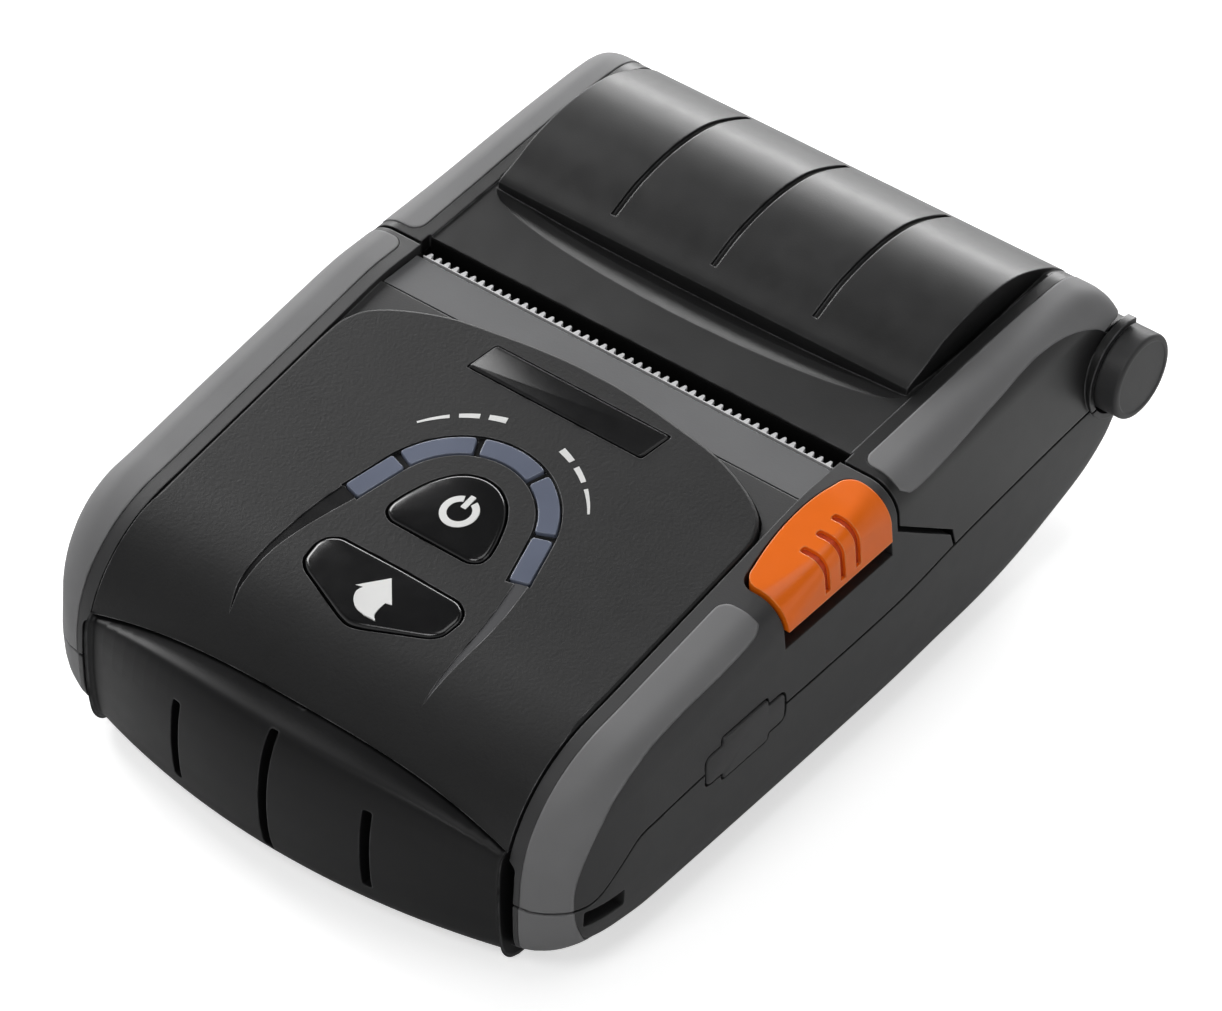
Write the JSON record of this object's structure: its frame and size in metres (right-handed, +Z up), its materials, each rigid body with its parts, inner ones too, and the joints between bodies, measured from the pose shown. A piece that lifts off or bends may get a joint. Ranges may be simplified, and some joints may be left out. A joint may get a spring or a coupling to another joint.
{
  "type": "portable thermal printer",
  "caption": "Palm-sized receipt printer with a hinged paper cover, tear bar, grip strips, keys, side release lever and a slide-in battery.",
  "frame": {"origin": "middle of the case, on the surface it stands on", "axes": "+X to the side with the release lever, +Y from the battery end to the hinge end, +Z up"},
  "size_m": [0.0817, 0.112, 0.0388],
  "materials": {
    "case_plastic": "dark grey, satin, finely textured",
    "cover_plastic": "near black, half gloss",
    "panel_plastic": "black, grained",
    "plate_plastic": "charcoal, satin",
    "grip_rubber": "mid grey, soft matt",
    "key_plastic": "black, glossy",
    "window_plastic": "smoky blue-grey, clear",
    "lever_plastic": "orange, glossy",
    "steel": "bright",
    "die_cast": "satin",
    "black_rubber": "matt",
    "gear_plastic": "natural",
    "board": "green, satin",
    "head_ceramic": "glazed",
    "brass": "bright",
    "ribbon": "amber"
  },
  "bodies": {
    "base": {"lower_case": "case_plastic", "corner_grip_left": "grip_rubber", "corner_grip_right": "grip_rubber", "upper_case": "case_plastic", "rail_grip_left": "grip_rubber", "rail_grip_right": "grip_rubber", "front_panel": "panel_plastic", "name_plate": "cover_plastic", "light_guide": "window_plastic", "key_mat": "black_rubber", "main_board": "board", "radio_module": "die_cast", "buzzer": "cover_plastic", "head_cover": "plate_plastic", "tear_bar": "steel", "battery_contacts": "brass", "print_frame": "die_cast", "frame_screw_left": "steel", "frame_screw_right": "steel", "print_head": "head_ceramic", "head_sink": "die_cast", "head_spring": "steel", "head_cable": "ribbon", "stepper_motor": "die_cast", "reduction_axle": "steel", "lock_spring": "steel", "roll_tray": "cover_plastic", "paper_sensor": "cover_plastic", "hinge_pin_left": "steel", "hinge_pin_right": "steel", "hinge_cap_left": "case_plastic", "hinge_cap_right": "case_plastic", "data_socket": "steel", "port_board": "board", "case_screw_1": "steel", "case_screw_2": "steel", "case_screw_3": "steel", "case_screw_4": "steel"},
    "cover": {"paper_cover": "cover_plastic", "cover_grip_left": "grip_rubber", "cover_grip_right": "grip_rubber", "platen_holder": "die_cast", "platen_bush_left": "brass", "platen_bush_right": "brass"},
    "platen": {"platen_roller": "black_rubber", "platen_shaft": "steel", "platen_gear": "gear_plastic"},
    "reduction": {"reduction_gear": "gear_plastic"},
    "pinion": {"motor_pinion": "brass"},
    "lever": {"open_lever": "lever_plastic"},
    "lock": {"lock_shaft": "steel", "lock_lever_left": "steel", "lock_lever_right": "steel", "lock_crank": "steel"},
    "power_key": {"power_button": "key_plastic"},
    "feed_key": {"feed_button": "key_plastic"},
    "battery": {"battery_pack": "cover_plastic"},
    "latch": {"battery_latch": "cover_plastic"},
    "socket_door": {"connector_door": "case_plastic"}
  },
  "joints": [
    {"name": "cover_hinge", "type": "hinge", "parent": "base", "child": "cover", "pos_m": [0, 0.0506, 0.0239], "axis": [-1, 0, 0], "range_deg": [0, 100]},
    {"name": "platen_spin", "type": "hinge", "parent": "cover", "child": "platen", "pos_m": [0, 0.01295, 0.02685], "axis": [1, 0, 0], "continuous": true},
    {"name": "reduction_spin", "type": "hinge", "parent": "base", "child": "reduction", "pos_m": [0, 0.00926, 0.02003], "axis": [1, 0, 0], "continuous": true},
    {"name": "pinion_spin", "type": "hinge", "parent": "base", "child": "pinion", "pos_m": [0, 0.00065, 0.01495], "axis": [1, 0, 0], "continuous": true},
    {"name": "lever_press", "type": "slide", "parent": "base", "child": "lever", "axis": [0, 0, -1], "range_m": [0, 0.002], "stiffness_N_per_m": 400},
    {"name": "lock_turn", "type": "hinge", "parent": "base", "child": "lock", "pos_m": [0, 0.0105, 0.01565], "axis": [1, 0, 0], "range_deg": [0, 12.8]},
    {"name": "power_press", "type": "slide", "parent": "base", "child": "power_key", "axis": [0, 0.1598, -0.9872], "range_m": [0, 0.0005], "stiffness_N_per_m": 400},
    {"name": "feed_press", "type": "slide", "parent": "base", "child": "feed_key", "axis": [0, 0.1598, -0.9872], "range_m": [0, 0.0005], "stiffness_N_per_m": 400},
    {"name": "battery_run", "type": "slide", "parent": "base", "child": "battery", "axis": [0, -1, 0], "range_m": [0, 0.06]},
    {"name": "latch_run", "type": "slide", "parent": "base", "child": "latch", "axis": [1, 0, 0], "range_m": [0, 0.003]},
    {"name": "door_hinge", "type": "hinge", "parent": "base", "child": "socket_door", "pos_m": [0.0396, -0.0275, 0.0178], "axis": [0, 0, -1], "range_deg": [0, 100]}
  ],
  "couplings": [
    {"joint": "reduction_spin", "follows": "platen_spin", "ratio": -1.2143},
    {"joint": "pinion_spin", "follows": "platen_spin", "ratio": 3.6429},
    {"joint": "lock_turn", "follows": "lever_press", "rad_per_m": 111.11}
  ]
}
